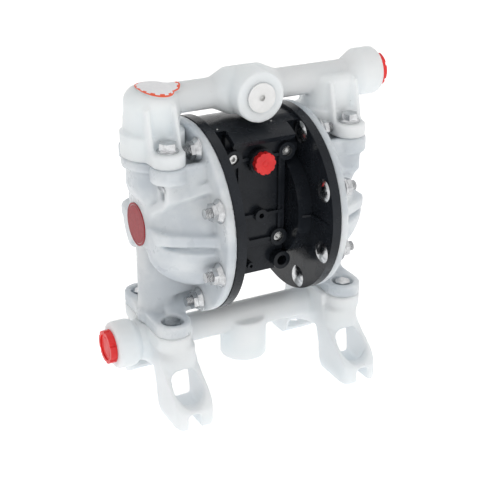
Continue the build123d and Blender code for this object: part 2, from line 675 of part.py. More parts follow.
def center_body():
    """Centre section between the inner chambers: core, top block with its shell, and bosses."""
    w = core_half_width
    body = block(-w, w, -core_depth, core_depth, core_bottom_z, valve_z)
    # top block and the curved shell that joins flange to flange
    side = bolt_head_x - 0.3
    roof = rod_x(shell_radius, -side, side) - rod_x(shell_radius - shell_thickness, -side - 1, side + 1)
    reach = (shell_radius + 5) * tan(radians(shell_angle))
    roof &= plate_yz([(0, 0), (-reach, shell_radius + 5), (reach, shell_radius + 5)], -side, side)
    body += roof
    top = block(-side, side, -core_depth, core_depth, drum_radius + 0.7, shell_radius - 2)
    body += top & rod_x(shell_radius - 1, -side, side)
    for cut in on_bolt_circle(rod_z(carriage_head_radius + 1.5, 0, scallop_length), bolt_head_x - scallop_length):
        body -= both_sides(cut)
    head_y = bolt_circle_radius * sin(radians(bolt_angles[0]))
    corner = block(bolt_head_x - scallop_length, bolt_head_x, head_y, flange_radius, 0, flange_radius)
    body -= both_sides(corner + rear(corner))
    # bosses and ribs on the front, below and beside the cover
    for sx in (-1, 1):
        body += rod_y(7.8, -core_depth - 8, 0, sx * 21.0, -44.5)
        body += block(sx * 14.0, sx * w, -core_depth - 5, 0, -47, -42)
    body += rod_y(3.2, -core_depth - 8, 0, -8.0, -44.0)
    # room for the drums of the inner chambers
    body -= both_sides(rod_x(drum_radius + free_gap, w, bolt_head_x + 1))
    # bores
    body -= rod_x(rod_radius + 1.0, -w - 1, w + 1)
    bushing_bore = rod_x(rod_radius + running_gap + bushing_wall + seat_gap, w - bushing_length, w + 1)
    body -= both_sides(bushing_bore)
    body -= rod_x(pilot_sleeve_radius + seat_gap, -w - 1, w + 1, 0, pilot_z)
    body -= rod_x(sleeve_radius + seat_gap, -side - 1, side + 1, 0, valve_z)
    # air passages, front inlet and rear exhaust, to the valve; feeds to each chamber
    body -= rod_y(5.0, -core_depth - 9, -6, 0, air_port_z) + rod_z(3.5, air_port_z, valve_z, 0, -6)
    body -= rod_y(5.0, 6, core_depth + 9, 0, air_port_z) + rod_z(3.5, air_port_z, valve_z, 0, 6)
    for sx in (-1, 1):
        body -= rod_x(3.0, sx * 15, sx * (w + 1), 0, air_port_z - 11)
        body -= rod_z(3.5, air_port_z - 13, valve_z, sx * 15)
        body -= rod_y(4.4, -core_depth - 9, -10, sx * 21.0, -44.5)
    body -= rod_y(1.4, -core_depth - 9, -12, -8.0, -44.0)
    for x, z in cover_screw_places():
        body -= both_faces(rod_y(cover_screw_radius + seat_gap, -core_depth - 5, -4, x, z))
    return body


def both_faces(part):
    return part + rear(part)


def cover_screw_places():
    return [(sx * x, z) for sx in (-1, 1) for x, z in (cover_screw_top, cover_screw_bottom)]


def cover_outline(margin):
    """(x, z) corners of the covers: wide at the top screws, narrower beside the drums."""
    tx, tz = cover_screw_top
    bx, bz = cover_screw_bottom
    waist = core_half_width - 1
    right = [(tx, tz + margin), (tx + margin, tz), (waist, tz - 9), (waist, bz + 9), (bx + margin, bz),
             (bx, bz - margin)]
    return right + [(-x, z) for x, z in reversed(right)]


def cover_sheet(y0, y1):
    """Flat piece with the covers' outline and the two humps over the air port."""
    sheet = plate_xz(cover_outline(cover_boss_radius - 1.5), y0, y1)
    sheet += block(-cover_hump_x, cover_hump_x, y0, y1, air_port_z, cover_dip_z)
    for sx in (-1, 1):
        sheet += rod_y(cover_hump_radius, y0, y1, sx * cover_hump_x, cover_hump_z)
    return sheet


def cover_gasket():
    y0 = -core_depth - cover_gasket_thickness
    sheet = cover_sheet(y0, -core_depth)
    sheet -= rod_y(air_port_radius, y0 - 1, 0, 0, air_port_z)
    for x, z in cover_screw_places():
        sheet -= rod_y(cover_screw_radius + 0.3, y0 - 1, 0, x, z)
    return sheet


def cover_plate():
    """Plate, air boss and screw bosses that the front and rear covers share, on the front."""
    y0 = -core_depth - cover_gasket_thickness
    y1 = -cover_front_y
    body = cover_sheet(y1, y0)
    body += rod_y(air_boss_radius, y1 - air_boss_height, y0, 0, air_port_z)
    for x, z in cover_screw_places():
        body += rod_y(cover_boss_radius, y1 - cover_boss_height, y0, x, z)
    # ribs between the bosses
    tx, tz = cover_screw_top
    bx, bz = cover_screw_bottom
    body += block(-tx, tx, y1 - 3.0, y1, tz - 3.0, tz - 0.6)
    body += block(-bx, bx, y1 - 3.0, y1, bz - 1.2, bz + 1.2)
    body += block(-bx - 4, bx + 4, y1 - 3.0, y1, -0.6, 1.8)
    for sx in (-1, 1):
        body += block(sx * (bx + 1) - 1.2, sx * (bx + 1) + 1.2, y1 - 2.4, y1, bz, tz)
    body -= rod_y(air_port_radius, y1 - air_boss_height - 1, y0 + 1, 0, air_port_z)
    for x, z in cover_screw_places():
        body -= rod_y(cover_screw_radius + 0.3, y1 - 9, y0 + 1, x, z)
        body -= rod_y(cover_screw_head_radius + 0.4, y1 - 9, y1 + 2, x, z)
    return body


def front_cover():
    body = cover_plate()
    body += rod_y(5.5, -cover_front_y - 6.0, -cover_front_y, 0, 0.6)
    return body - rod_y(2.2, -cover_front_y - 7.0, -cover_front_y + 2.0, 0, 0.6)


def cover_screw(x, z):
    """Socket head screw, seated in its recess and pointing into the core."""
    seat_y = -cover_front_y + 2
    head = rod_y(cover_screw_head_radius, seat_y - cover_screw_head_height, seat_y, x, z)
    hexagon = extrude(Plane.XZ * RegularPolygon(2.3, 6), amount=2.2)
    socket = Pos(x, seat_y - cover_screw_head_height + 2.2, z) * hexagon
    return head - socket + rod_y(cover_screw_radius, seat_y, seat_y + cover_screw_length, x, z)


def muffler():
    """Exhaust muffler, screwed into the rear cover: threaded neck and a ribbed body with a domed end."""
    y0 = cover_front_y + air_boss_height
    neck = rod_y(air_port_radius - seat_gap, y0 - 9, y0, 0, air_port_z)
    barrel = rod_y(muffler_radius, y0, y0 + muffler_length, 0, air_port_z)
    barrel = fillet(barrel.edges().filter_by(GeomType.CIRCLE).sort_by(Axis.Y)[-1], 3.0)
    for i in range(5):
        y = y0 + 5 + 4.5 * i
        barrel -= rod_y(99, y, y + 1.6, 0, air_port_z) - rod_y(muffler_radius - 1.0, y - 1, y + 3, 0, air_port_z)
    return neck + barrel


# ---------------------------------------------------------------- valves of the air side
def valve_sleeve():
    sleeve = rod_x(sleeve_radius, -sleeve_half_length, sleeve_half_length)
    sleeve -= rod_x(spool_radius + running_gap, -sleeve_half_length - 1, sleeve_half_length + 1)
    for x in (-15.0, 0.0, 15.0):
        ring = rod_x(sleeve_radius + 1, x - 2.5, x + 2.5) - rod_x(sleeve_radius - 1.5, x - 3, x + 3)
        sleeve -= ring + rod_y(2.0, -sleeve_radius - 1, sleeve_radius + 1, x) + rod_z(2.0, -20, 20, x)
    return Pos(0, 0, valve_z) * sleeve


def valve_spool():
    spool = rod_x(spool_radius, -spool_half_length, spool_half_length)
    for x in (-8.0, 8.0):
        spool -= rod_x(spool_radius + 1, x - 5, x + 5) - rod_x(spool_radius - 2.5, x - 6, x + 6)
    return Pos(0, 0, valve_z) * spool


def valve_end_plug():
    x1 = bolt_head_x - free_gap
    return rod_x(sleeve_radius, x1 - end_plug_thickness, x1, 0, valve_z)


def spool_bumper():
    x0 = sleeve_half_length
    return rod_x(sleeve_radius - 0.4, x0, x0 + bumper_thickness, 0, valve_z)


def pilot_sleeve():
    w = pilot_sleeve_half_length
    sleeve = rod_x(pilot_sleeve_radius, -w, w) - rod_x(pilot_spool_radius + running_gap, -w - 1, w + 1)
    for x in (-10.0, 0.0, 10.0):
        sleeve -= rod_x(pilot_sleeve_radius + 1, x - 1.5, x + 1.5) - rod_x(pilot_sleeve_radius - 1, x - 2, x + 2)
        sleeve -= rod_z(1.2, -20, 20, x)
    return Pos(0, 0, pilot_z) * sleeve


def pilot_spool():
    spool = rod_x(pilot_spool_radius, -pilot_half_length, pilot_half_length)
    for x in (-6.0, 6.0):
        spool -= rod_x(pilot_spool_radius + 1, x - 3, x + 3) - rod_x(pilot_spool_radius - 1.8, x - 4, x + 4)
    return Pos(0, 0, pilot_z) * spool


def plunger():
    return rod_x(plunger_radius, pilot_half_length, plunger_tip_x, 0, pilot_z)


def plunger_bushing():
    x0 = drum_face_x
    bush = rod_x(plunger_bushing_radius, x0, inner_floor_x) + rod_x(plunger_flange_radius, inner_floor_x,
                                                                    inner_floor_x + 1.5)
    return Pos(0, 0, pilot_z) * (bush - rod_x(plunger_radius + running_gap, x0 - 1, inner_floor_x + 9))


# ---------------------------------------------------------------- plugs and badges
def red_port_plug():
    """Push-in port plug with a notched rim, for the right-hand end of the discharge manifold."""
    x0 = port_end_x
    cap = rod_x(plug_flange_radius, x0, x0 + plug_flange_height)
    for i in range(plug_ribs):
        notch = rod_x(plug_notch_radius, x0 + 1.2, x0 + plug_flange_height + 1, 0, plug_flange_radius + 0.6)
        cap -= Rot(360 / plug_ribs * i, 0, 0) * notch
    cap -= rod_x(plug_flange_radius - 3.0, x0 + plug_flange_height - 1.2, x0 + plug_flange_height + 1)
    shank = rod_x(port_bore_radius - seat_gap, x0 - 12, x0)
    return Pos(0, 0, discharge_tube_z) * (cap + shank)


def front_port_plug():
    """White plug with a thin head and a dimple in its middle."""
    y1 = front_port_y - front_plug_head
    plug = rod_y(port_bore_radius - seat_gap, front_port_y - 0.5, front_port_y + 13, 0, discharge_tube_z)
    plug += rod_y(front_plug_radius, y1, front_port_y, 0, discharge_tube_z)
    dimple = Pos(0, y1 + 0.8, discharge_tube_z) * Rot(-90, 0, 0) * Cone(1.5, 5.5, 3.0)
    return plug - dimple


def air_plug():
    y0 = -cover_front_y - air_boss_height
    cap = rod_y(air_plug_radius, y0 - air_plug_height, y0, 0, air_port_z)
    for i in range(air_plug_ribs):
        notch = rod_y(1.5, y0 - air_plug_height - 1, y0 + 1, 0, air_plug_radius + 0.7)
        cap -= Pos(0, 0, air_port_z) * Rot(0, 360 / air_plug_ribs * i, 0) * notch
    return cap + rod_y(air_port_radius - seat_gap, y0, y0 + 9, 0, air_port_z)


def hub_badge():
    x1 = hub_face_x
    disc = rod_x(badge_radius, x1 - badge_thickness, x1 + 0.4)
    return disc - (rod_x(badge_radius - 1.4, x1, x1 + 1) - rod_x(badge_radius - 2.2, x1, x1 + 1))


# ---------------------------------------------------------------- write the nodes
def write_pair(name, right_part):
    keep(f"{name}_right", right_part)
    keep(f"{name}_left", left(right_part))


def write_housings():
    keep("discharge_manifold", discharge_manifold())
    keep("suction_manifold", suction_manifold())
    write_pair("outer_chamber", outer_chamber())
    write_pair("inner_chamber", inner_chamber())
    keep("center_body", center_body())
    keep("air_inlet_cover", front_cover())
    keep("exhaust_cover", rear(cover_plate()))
    keep("cover_gaskets", cover_gasket(), rear(cover_gasket()))
    write_pair("chamber_gasket", chamber_gasket())
    write_pair("hub_badge", hub_badge())


def write_diaphragm_assembly():
    write_pair("diaphragm", diaphragm())
    write_pair("outer_plate", outer_plate())
    write_pair("inner_plate", inner_plate())
    keep("diaphragm_rod", diaphragm_rod())
    write_pair("rod_seal", rod_seal())
    keep("rod_bushings", rod_bushing(), left(rod_bushing()))


def write_check_valves():
    joints = (("discharge", discharge_joint_z), ("suction", suction_joint_z))
    for name, z in joints:
        for side, word in ((1, "right"), (-1, "left")):
            keep(f"{name}_ball_{word}", ball(side * column_x, z))
            keep(f"{name}_seat_{word}", ball_seat(side * column_x, z))
    keep("seat_o_rings", *[seat_ring(side * column_x, z) for _, z in joints for side in (-1, 1)])


def write_air_valves():
    keep("main_valve_sleeve", valve_sleeve())
    keep("main_valve_spool", valve_spool())
    write_pair("valve_end_plug", valve_end_plug())
    keep("spool_bumpers", spool_bumper(), left(spool_bumper()))
    keep("pilot_sleeve", pilot_sleeve())
    keep("pilot_spool", pilot_spool())
    write_pair("actuator_plunger", plunger())
    write_pair("plunger_bushing", plunger_bushing())
    keep("muffler", muffler())


def write_plugs():
    keep("discharge_port_plug", red_port_plug())
    keep("suction_port_plug", left(Pos(0, 0, suction_tube_z - discharge_tube_z) * red_port_plug()))
    keep("front_port_plug", front_port_plug())
    keep("air_inlet_plug", air_plug())


def write_fasteners():
    grip = inner_flange_thickness + outer_flange_thickness
    bolt = Rot(0, 180, 0) * carriage_bolt(grip + nut_height + stud_end)
    bolts = on_bolt_circle(bolt, bolt_head_x)
    keep("chamber_bolts", *bolts, *[left(b) for b in bolts])
    nuts = on_bolt_circle(flange_nut(), nut_face_x, spin=15)
    keep("chamber_nuts", *nuts, *[left(n) for n in nuts])

    upper = discharge_ear_top_z - nut_slot_z + square_nut_height + stud_end
    keep("discharge_bolts", *[Pos(x, y, discharge_ear_top_z) * flange_bolt(upper) for x, y in ear_places])
    keep("discharge_nuts", *[Pos(x, y, nut_slot_z - 0.1) * square_nut() for x, y in ear_places])
    seat = suction_lug_top_z - recess_depth
    lower = seat - pad_bottom_z + nut_height + stud_end / 2
    keep("suction_bolts", *[Pos(x, y, seat) * flange_bolt(lower) for x, y in ear_places])
    keep("suction_nuts", *[Pos(x, y, pad_bottom_z) * Rot(180, 0, 0) * flange_nut() for x, y in ear_places])
    screws = [cover_screw(x, z) for x, z in cover_screw_places()]
    keep("cover_screws", *screws, *[rear(s) for s in screws])


os.makedirs("parts", exist_ok=True)
write_housings()
write_diaphragm_assembly()
write_check_valves()
write_air_valves()
write_plugs()
write_fasteners()
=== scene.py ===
import json
import bmesh
import bpy
import numpy as np
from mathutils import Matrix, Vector


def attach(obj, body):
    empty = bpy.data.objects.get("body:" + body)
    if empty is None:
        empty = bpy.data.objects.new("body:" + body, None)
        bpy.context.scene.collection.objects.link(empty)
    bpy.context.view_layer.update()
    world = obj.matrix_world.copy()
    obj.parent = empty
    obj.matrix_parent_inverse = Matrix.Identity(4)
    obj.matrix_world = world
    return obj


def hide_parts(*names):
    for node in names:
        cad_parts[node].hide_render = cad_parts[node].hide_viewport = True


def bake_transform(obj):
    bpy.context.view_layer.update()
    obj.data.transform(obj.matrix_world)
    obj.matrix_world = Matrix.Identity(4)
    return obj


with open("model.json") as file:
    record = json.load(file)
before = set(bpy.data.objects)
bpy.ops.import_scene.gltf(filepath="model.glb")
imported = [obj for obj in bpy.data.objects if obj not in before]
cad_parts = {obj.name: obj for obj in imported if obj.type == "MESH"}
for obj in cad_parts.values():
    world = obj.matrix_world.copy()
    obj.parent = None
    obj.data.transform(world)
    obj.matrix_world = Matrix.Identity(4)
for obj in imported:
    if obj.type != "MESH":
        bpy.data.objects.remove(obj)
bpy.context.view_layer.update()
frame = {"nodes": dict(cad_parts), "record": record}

nodes = frame["nodes"]
mm = 0.001
fullTurn = 6.2832
axisHeight = 0.157  # pump axis over the floor, m


# camera first, then what stands round the pump
cameraSettings = {
    "place": (-0.39825, -0.76375, 0.50733), "aim": (-0.003, 0.0, 0.124), "lens": 83.4, "sensor": 36.0, "near": 0.01,
}
cameraData = bpy.data.cameras.new("camera")
camera = bpy.data.objects.new("camera", cameraData)
bpy.context.scene.collection.objects.link(camera)
bpy.context.scene.camera = camera
cameraData.lens = cameraSettings["lens"]
cameraData.sensor_width = cameraSettings["sensor"]
cameraData.clip_start = cameraSettings["near"]
camera.location = cameraSettings["place"]
aimLine = Vector(cameraSettings["aim"]) - camera.location
camera.rotation_euler = aimLine.to_track_quat("-Z", "Y").to_euler()
bpy.context.scene.view_settings.view_transform = "Standard"
print("camera set")


# ---- shader helpers: each adds a node and wires it
def addNode(tree, kind, **values):
    node = tree.nodes.new(kind)
    for name, value in values.items():
        setattr(node, name, value)
    return node


def noiseField(tree, coords, scale, detail=3.0, roughness=0.55):
    node = addNode(tree, "ShaderNodeTexNoise")
    node.inputs["Scale"].default_value = scale
    node.inputs["Detail"].default_value = detail
    node.inputs["Roughness"].default_value = roughness
    tree.links.new(coords, node.inputs["Vector"])
    return node.outputs["Fac"]


def rampField(tree, source, low, high, toLow=0.0, toHigh=1.0):
    node = addNode(tree, "ShaderNodeMapRange", interpolation_type="SMOOTHSTEP")
    for name, value in zip(("From Min", "From Max", "To Min", "To Max"), (low, high, toLow, toHigh)):
        node.inputs[name].default_value = value
    tree.links.new(source, node.inputs["Value"])
    return node.outputs["Result"]


def calculate(tree, operation, first, second=0.0, third=0.0):
    node = addNode(tree, "ShaderNodeMath", operation=operation)
    for socket, value in zip(node.inputs, (first, second, third)):
        if isinstance(value, bpy.types.NodeSocket):
            tree.links.new(value, socket)
        else:
            socket.default_value = value
    return node.outputs[0]


def mixColours(tree, amount, first, second):
    node = addNode(tree, "ShaderNodeMix", data_type="RGBA")
    for socket, value in ((node.inputs[0], amount), (node.inputs[6], first), (node.inputs[7], second)):
        if isinstance(value, bpy.types.NodeSocket):
            tree.links.new(value, socket)
        elif isinstance(value, (tuple, list)):
            socket.default_value = (*value, 1.0)
        else:
            socket.default_value = value
    return node.outputs[2]


def bumpFrom(tree, height, strength, distance, under=None):
    node = addNode(tree, "ShaderNodeBump")
    node.inputs["Strength"].default_value = strength
    node.inputs["Distance"].default_value = distance
    tree.links.new(height, node.inputs["Height"])
    if under:
        tree.links.new(under, node.inputs["Normal"])
    return node.outputs["Normal"]


def startMaterial(name):
    material = bpy.data.materials.new(name)
    material.use_nodes = True
    tree = material.node_tree
    tree.nodes.clear()
    coords = addNode(tree, "ShaderNodeTexCoord").outputs["Object"]
    shader = addNode(tree, "ShaderNodeBsdfPrincipled")
    output = addNode(tree, "ShaderNodeOutputMaterial")
    tree.links.new(shader.outputs[0], output.inputs["Surface"])
    return material, tree, coords, shader


def setSockets(shader, **values):
    for name, value in values.items():
        shader.inputs[name.replace("_", " ")].default_value = value


# ---- moulded plastics: two shades that drift over the part, a fine skin, and a roughness that varies
bumpDepths = {"skin": 0.0002, "flow": 0.001, "scratch": 0.0001}


def mouldedPlastic(name, values):
    material, tree, coords, shader = startMaterial(name)
    drift = rampField(tree, noiseField(tree, coords, values["driftScale"], 4.0), 0.35, 0.65)
    colour = mixColours(tree, drift, values["light"], values["dark"])
    specks = rampField(tree, noiseField(tree, coords, values["speckScale"], 2.0, 0.7), 0.72, 0.80)
    speckAmount = calculate(tree, "MULTIPLY", specks, values["speckAmount"])
    colour = mixColours(tree, speckAmount, colour, values["speck"])
    tree.links.new(colour, shader.inputs["Base Color"])
    skin = noiseField(tree, coords, values["skinScale"], 3.0, 0.6)
    low, high = values["roughness"]
    sheenField = noiseField(tree, coords, values["driftScale"] * 3)
    tree.links.new(rampField(tree, sheenField, 0.3, 0.7, low, high), shader.inputs["Roughness"])
    flowField = noiseField(tree, coords, values["flowScale"], 2.0, 0.4)
    flow = bumpFrom(tree, flowField, values["flowStrength"], bumpDepths["flow"])
    tree.links.new(bumpFrom(tree, skin, values["skinStrength"], bumpDepths["skin"], flow), shader.inputs["Normal"])
    setSockets(shader, IOR=values["ior"], Specular_IOR_Level=values["specular"])
    if values.get("depth"):
        setSockets(shader, Subsurface_Weight=values["depth"], Subsurface_Scale=values["depthScale"],
                   Subsurface_Radius=values["depthColour"])
    return material


whiteValues = {
    "light": (0.895, 0.940, 0.975), "dark": (0.840, 0.895, 0.940), "driftScale": 18.0,
    "speck": (0.30, 0.27, 0.22), "speckScale": 420.0, "speckAmount": 0.35,
    "skinScale": 1500.0, "skinStrength": 0.12, "flowScale": 55.0, "flowStrength": 0.10,
    "roughness": (0.30, 0.44), "ior": 1.49, "specular": 0.5,
    "depth": 0.9, "depthScale": 0.014, "depthColour": (1.0, 1.0, 1.0),
}
chamberValues = {
    **whiteValues, "light": (0.730, 0.760, 0.780), "dark": (0.560, 0.600, 0.638), "driftScale": 24.0,
    "depth": 0.85, "depthScale": 0.012, "roughness": (0.26, 0.40),
}
blackValues = {
    "light": (0.0160, 0.0190, 0.0240), "dark": (0.0100, 0.0122, 0.0160), "driftScale": 30.0,
    "speck": (0.045, 0.048, 0.052), "speckScale": 600.0, "speckAmount": 0.2,
    "skinScale": 1900.0, "skinStrength": 0.16, "flowScale": 90.0, "flowStrength": 0.10,
    "roughness": (0.17, 0.31), "ior": 1.29, "specular": 0.5,
}
redValues = {
    "light": (0.86, 0.030, 0.028), "dark": (0.74, 0.020, 0.022), "driftScale": 70.0,
    "speck": (0.45, 0.01, 0.01), "speckScale": 700.0, "speckAmount": 0.3,
    "skinScale": 1600.0, "skinStrength": 0.2, "flowScale": 160.0, "flowStrength": 0.15,
    "roughness": (0.34, 0.46), "ior": 1.5, "specular": 0.45,
    "depth": 0.15, "depthScale": 0.002, "depthColour": (1.0, 0.25, 0.2),
}
whitePlugValues = {
    "light": (0.90, 0.90, 0.89), "dark": (0.84, 0.84, 0.83), "driftScale": 90.0,
    "speck": (0.6, 0.58, 0.54), "speckScale": 500.0, "speckAmount": 0.3,
    "skinScale": 1500.0, "skinStrength": 0.15, "flowScale": 120.0, "flowStrength": 0.1,
    "roughness": (0.34, 0.46), "ior": 1.49, "specular": 0.45,
    "depth": 0.3, "depthScale": 0.004, "depthColour": (1.0, 1.0, 1.0),
}
rubberValues = {
    "light": (0.028, 0.028, 0.030), "dark": (0.018, 0.018, 0.019), "driftScale": 60.0,
    "speck": (0.09, 0.09, 0.09), "speckScale": 800.0, "speckAmount": 0.3,
    "skinScale": 2400.0, "skinStrength": 0.5, "flowScale": 100.0, "flowStrength": 0.1,
    "roughness": (0.62, 0.78), "ior": 1.5, "specular": 0.3,
}
elastomerValues = {
    "light": (0.78, 0.75, 0.68), "dark": (0.70, 0.67, 0.60), "driftScale": 40.0,
    "speck": (0.5, 0.47, 0.42), "speckScale": 500.0, "speckAmount": 0.3,
    "skinScale": 2000.0, "skinStrength": 0.3, "flowScale": 80.0, "flowStrength": 0.1,
    "roughness": (0.5, 0.62), "ior": 1.45, "specular": 0.4,
}
acetalValues = {
    "light": (0.80, 0.78, 0.72), "dark": (0.74, 0.72, 0.66), "driftScale": 50.0,
    "speck": (0.5, 0.48, 0.44), "speckScale": 700.0, "speckAmount": 0.2,
    "skinScale": 2000.0, "skinStrength": 0.2, "flowScale": 200.0, "flowStrength": 0.1,
    "roughness": (0.36, 0.48), "ior": 1.48, "specular": 0.5,
}

whiteMoulding = mouldedPlastic("white_moulding", whiteValues)
chamberMoulding = mouldedPlastic("chamber_moulding", chamberValues)
blackMoulding = mouldedPlastic("black_moulding", blackValues)
redCap = mouldedPlastic("red_cap", redValues)
whitePlug = mouldedPlastic("white_plug", whitePlugValues)
rubber = mouldedPlastic("gasket", rubberValues)
elastomer = mouldedPlastic("diaphragm", elastomerValues)
acetal = mouldedPlastic("bushing", acetalValues)


# ---- metals: drifting tint, fine scratches and worn patches in the roughness
def metalFinish(name, values):
    material, tree, coords, shader = startMaterial(name)
    drift = rampField(tree, noiseField(tree, coords, values["driftScale"], 5.0), 0.3, 0.7)
    tree.links.new(mixColours(tree, drift, values["light"], values["dark"]), shader.inputs["Base Color"])
    low, high = values["roughness"]
    wearField = noiseField(tree, coords, values["wearScale"], 4.0, 0.7)
    tree.links.new(rampField(tree, wearField, 0.3, 0.7, low, high), shader.inputs["Roughness"])
    stretch = addNode(tree, "ShaderNodeMapping")
    stretch.inputs["Scale"].default_value = values["scratchStretch"]
    tree.links.new(coords, stretch.inputs["Vector"])
    scratches = noiseField(tree, stretch.outputs[0], values["scratchScale"], 2.0, 0.7)
    normal = bumpFrom(tree, scratches, values["scratchStrength"], bumpDepths["scratch"])
    if values.get("threadPitch"):
        # rings of thread on the shanks past |x| = threadStart, from a sine along the pump axis
        place = addNode(tree, "ShaderNodeSeparateXYZ")
        tree.links.new(coords, place.inputs[0])
        away = calculate(tree, "ABSOLUTE", place.outputs["X"])
        ring = calculate(tree, "SINE", calculate(tree, "MULTIPLY", away, fullTurn / values["threadPitch"]))
        onThread = rampField(tree, away, values["threadStart"] - values["threadRunOut"], values["threadStart"])
        ring = calculate(tree, "MULTIPLY", ring, onThread)
        normal = bumpFrom(tree, ring, values["threadStrength"], values["threadDepth"], normal)
    tree.links.new(normal, shader.inputs["Normal"])
    setSockets(shader, Metallic=1.0)
    return material


steelValues = {
    "light": (0.62, 0.63, 0.64), "dark": (0.46, 0.465, 0.475), "driftScale": 220.0, "wearScale": 260.0,
    "roughness": (0.13, 0.27), "scratchScale": 900.0, "scratchStretch": (0.25, 1.0, 1.0), "scratchStrength": 0.25,
}
studValues = {
    **steelValues, "threadPitch": 0.00125, "threadStart": 0.0622, "threadRunOut": 0.0002, "threadDepth": 0.0006,
    "threadStrength": 0.9,
}
screwValues = {**steelValues, "light": (0.66, 0.66, 0.65), "dark": (0.42, 0.42, 0.42), "roughness": (0.14, 0.26)}
aluminiumValues = {
    "light": (0.72, 0.73, 0.74), "dark": (0.60, 0.61, 0.62), "driftScale": 90.0, "wearScale": 200.0,
    "roughness": (0.28, 0.40), "scratchScale": 1200.0, "scratchStretch": (1.0, 0.2, 0.2), "scratchStrength": 0.3,
}
steel = metalFinish("steel", steelValues)
studSteel = metalFinish("steel_threaded", studValues)
screwSteel = metalFinish("steel_screws", screwValues)
aluminium = metalFinish("aluminium", aluminiumValues)


# ---- discs about a centre: bands of colour by distance from the middle, for badges and the label
printValues = {
    "wanderScale": 300.0, "glossScale": 500.0, "roughness": (0.28, 0.40), "skinScale": 1400.0, "skinStrength": 0.12,
    "edge": 0.0001,
}


def bandedDisc(name, values):
    material, tree, coords, shader = startMaterial(name)
    length = addNode(tree, "ShaderNodeVectorMath", operation="LENGTH")
    if values.get("ownMap"):
        tree.links.new(addNode(tree, "ShaderNodeUVMap", uv_map=values["ownMap"]).outputs[0], length.inputs[0])
    else:
        place = addNode(tree, "ShaderNodeMapping", vector_type="POINT")
        place.inputs["Location"].default_value = values["shift"]
        place.inputs["Scale"].default_value = values["axes"]
        tree.links.new(coords, place.inputs["Vector"])
        tree.links.new(place.outputs[0], length.inputs[0])
    reach = length.outputs["Value"]
    blur = printValues["edge"]
    wander = noiseField(tree, coords, printValues["wanderScale"], 3.0)
    face = mixColours(tree, rampField(tree, wander, 0.3, 0.7), values["face"], values["faceDark"])
    inner = reach
    if values.get("teeth"):
        # inner edge of the band steps in and out round the disc
        part = addNode(tree, "ShaderNodeSeparateXYZ")
        tree.links.new(addNode(tree, "ShaderNodeUVMap", uv_map=values["ownMap"]).outputs[0], part.inputs[0])
        turn = calculate(tree, "ARCTAN2", part.outputs["Y"], part.outputs["X"])
        step = calculate(tree, "SIGN", calculate(tree, "SINE", calculate(tree, "MULTIPLY", turn, values["teeth"])))
        inner = calculate(tree, "MULTIPLY_ADD", step, values["toothDepth"], reach)
    edge = rampField(tree, inner, values["bandIn"] - blur, values["bandIn"] + blur)
    outer = rampField(tree, reach, values["bandOut"] - blur, values["bandOut"] + blur, 1.0, 0.0)
    colour = mixColours(tree, calculate(tree, "MULTIPLY", edge, outer), face, values["band"])
    tree.links.new(colour, shader.inputs["Base Color"])
    gloss = noiseField(tree, coords, printValues["glossScale"])
    tree.links.new(rampField(tree, gloss, 0.3, 0.7, *printValues["roughness"]), shader.inputs["Roughness"])
    skin = noiseField(tree, coords, printValues["skinScale"])
    tree.links.new(bumpFrom(tree, skin, printValues["skinStrength"], bumpDepths["skin"]), shader.inputs["Normal"])
    setSockets(shader, Specular_IOR_Level=values["specular"])
    return material


badgeValues = {
    "shift": (0.0, 0.0, -axisHeight), "axes": (0.0, 1.0, 1.0), "face": (0.36, 0.028, 0.036),
    "faceDark": (0.30, 0.022, 0.030), "band": (0.55, 0.33, 0.33), "bandIn": 0.0155, "bandOut": 0.0163,
    "specular": 0.14,
}
labelFilm = {
    "ownMap": "labelMap", "face": (0.90, 0.90, 0.91), "faceDark": (0.86, 0.86, 0.88), "band": (0.87, 0.12, 0.05),
    "bandIn": 0.0170, "bandOut": 0.0191, "teeth": 14, "toothDepth": 0.0006, "specular": 0.4,
}
badgePrint = bandedDisc("badge", badgeValues)
labelPrint = bandedDisc("label", labelFilm)
print("materials ready")


# ---- every node gets its finish
finishes = {
    "white_moulding": whiteMoulding, "black_moulding": blackMoulding, "red_cap": redCap, "white_plug": whitePlug,
    "badge": badgePrint, "steel": steel, "aluminium": aluminium, "gasket": rubber, "diaphragm": elastomer,
    "ball": whitePlug, "seat": whitePlug, "bushing": acetal,
}
ownFinish = {
    "chamber_bolts": studSteel, "cover_screws": screwSteel,
    "outer_chamber_left": chamberMoulding, "outer_chamber_right": chamberMoulding,
}


def dress(piece, material):
    piece.data.materials.clear()
    piece.data.materials.append(material)


for entry in frame["record"]["subparts"]:
    material = ownFinish.get(entry["node"], finishes[entry["material_slot"]])
    for place in nodes[entry["node"]].material_slots:
        place.material = material
print("nodes dressed")


# ---- moulded housings with soft edges: the node's shell closed up, rebuilt on a fine grid, then eased
softValues = {
    "discharge_manifold": {"grid": 1.25, "easing": 7}, "suction_manifold": {"grid": 1.35, "easing": 6},
    "outer_chamber_left": {"grid": 1.35, "easing": 6}, "outer_chamber_right": {"grid": 1.35, "easing": 6},
}


weldGap = 1e-6


def softMoulding(name, values):
    source = nodes[name]
    mesh = source.data.copy()
    piece = bpy.data.objects.new("soft_" + name, mesh)
    bpy.context.scene.collection.objects.link(piece)
    steps = [("WELD", {"merge_threshold": weldGap}),
             ("REMESH", {"mode": "VOXEL", "voxel_size": values["grid"] * mm, "use_smooth_shade": True}),
             ("SMOOTH", {"factor": 0.5, "iterations": values["easing"]})]
    for kind, settings in steps:
        modifier = piece.modifiers.new(kind.lower(), kind)
        for key, value in settings.items():
            setattr(modifier, key, value)
    depsgraph = bpy.context.evaluated_depsgraph_get()
    finished = bpy.data.meshes.new_from_object(piece.evaluated_get(depsgraph))
    piece.modifiers.clear()
    piece.data = finished
    dress(piece, source.material_slots[0].material)
    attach(piece, "pump_housing")
    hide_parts(name)
    print(piece.name, len(finished.polygons), "faces")
    return piece


